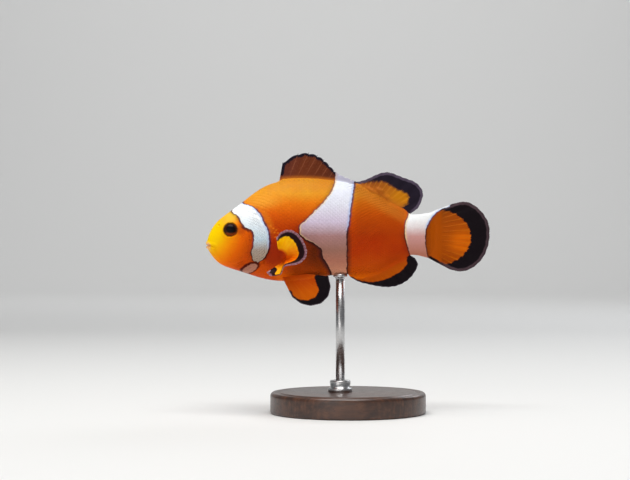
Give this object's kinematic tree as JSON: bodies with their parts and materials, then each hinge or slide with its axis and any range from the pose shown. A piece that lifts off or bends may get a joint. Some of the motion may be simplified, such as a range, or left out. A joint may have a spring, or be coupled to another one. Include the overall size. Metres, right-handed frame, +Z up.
{
  "type": "clownfish model on a display stand",
  "caption": "Life-size still model of an orange clownfish with white bars and black-edged fins, held level by a steel rod on a round wooden foot.",
  "frame": {"origin": "on the floor, at the centre of the underside of the stand's foot, under the middle of the fish's length", "axes": "+Z up, the snout points to -X, the left flank to -Y"},
  "size_m": [0.0801, 0.044, 0.0735],
  "materials": {
    "orange_skin": "satin, moist look",
    "yellow_skin": "satin, moist look",
    "white_skin": "satin, moist look",
    "orange_fin": "satin",
    "brown_fin": "satin",
    "eye": "glossy",
    "stand_wood": "satin lacquer",
    "stand_steel": "brushed"
  },
  "bodies": {
    "root": {"head": "yellow_skin", "lower_jaw": "yellow_skin", "gill_cover_left": "orange_skin", "gill_cover_right": "orange_skin", "eye_left": "eye", "eye_right": "eye", "trunk": "orange_skin", "tail_stalk": "white_skin", "dorsal_fin_front": "brown_fin", "dorsal_fin_rear": "orange_fin", "anal_fin": "orange_fin", "caudal_fin": "orange_fin", "pectoral_fin_left": "orange_fin", "pectoral_fin_right": "orange_fin", "pelvic_fin_left": "orange_fin", "pelvic_fin_right": "orange_fin", "stand_base": "stand_wood", "stand_collar": "stand_steel", "stand_rod": "stand_steel"}
  },
  "joints": []
}
